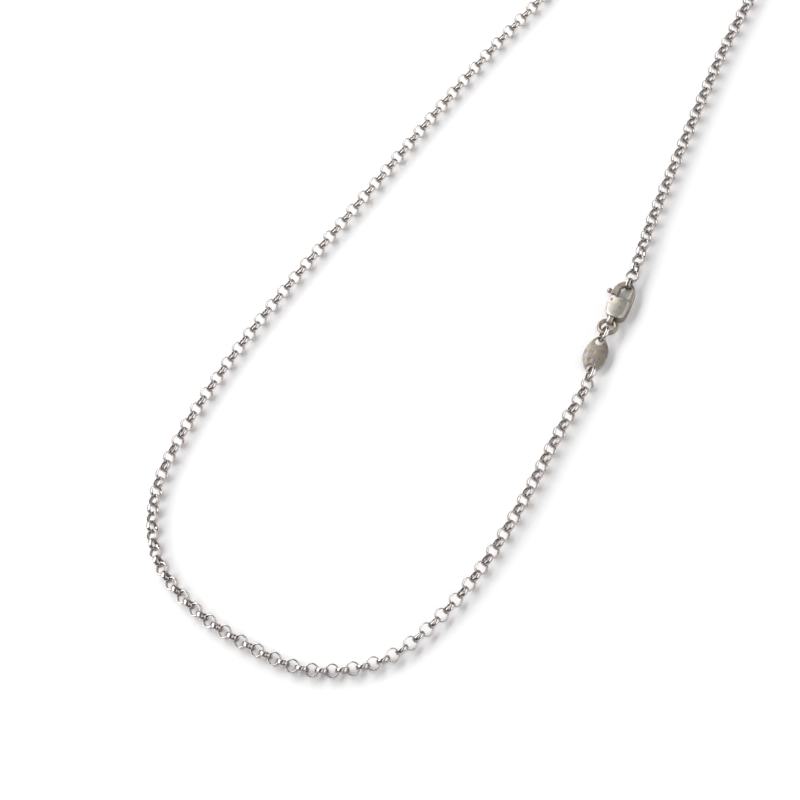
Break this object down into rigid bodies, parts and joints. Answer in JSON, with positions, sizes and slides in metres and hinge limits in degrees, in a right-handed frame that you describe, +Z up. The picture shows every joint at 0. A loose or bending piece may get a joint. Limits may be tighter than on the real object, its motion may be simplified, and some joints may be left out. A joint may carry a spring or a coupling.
{
  "type": "rolo chain necklace",
  "caption": "Rolo chain necklace of short band-shaped links with a lobster claw clasp and a small pointed oval tag.",
  "frame": {"origin": "on the surface that the necklace lies on, below the middle of its loop", "axes": "+X across the loop towards the strand with the clasp, +Y along the loop away from the strand's lower turn, from the clasp's ring to its hook, +Z up from the surface"},
  "size_m": [0.0809, 0.2147, 0.0035],
  "materials": {
    "silver_bright": "polished sterling silver with fine wear lines and darker tarnish inside the links",
    "silver_worn": "satin sterling silver with warm patchy tarnish, small pits and rubbed bright edges"
  },
  "bodies": {
    "necklace": {"chain_claw_side": "silver_bright", "chain_tag_side": "silver_bright", "tag_link_lower": "silver_bright", "tag": "silver_worn", "tag_link_upper": "silver_bright", "clasp_ring": "silver_worn", "clasp_body": "silver_worn", "lever_pin": "silver_worn"},
    "lever": {"clasp_lever": "silver_worn"}
  },
  "joints": [
    {"name": "lever_hinge", "type": "hinge", "parent": "necklace", "child": "lever", "pos_m": [0.03625, -0.0072, 0.00125], "axis": [0, 0, -1], "range_deg": [0, 22], "stiffness_Nm_per_rad": 0.004}
  ]
}
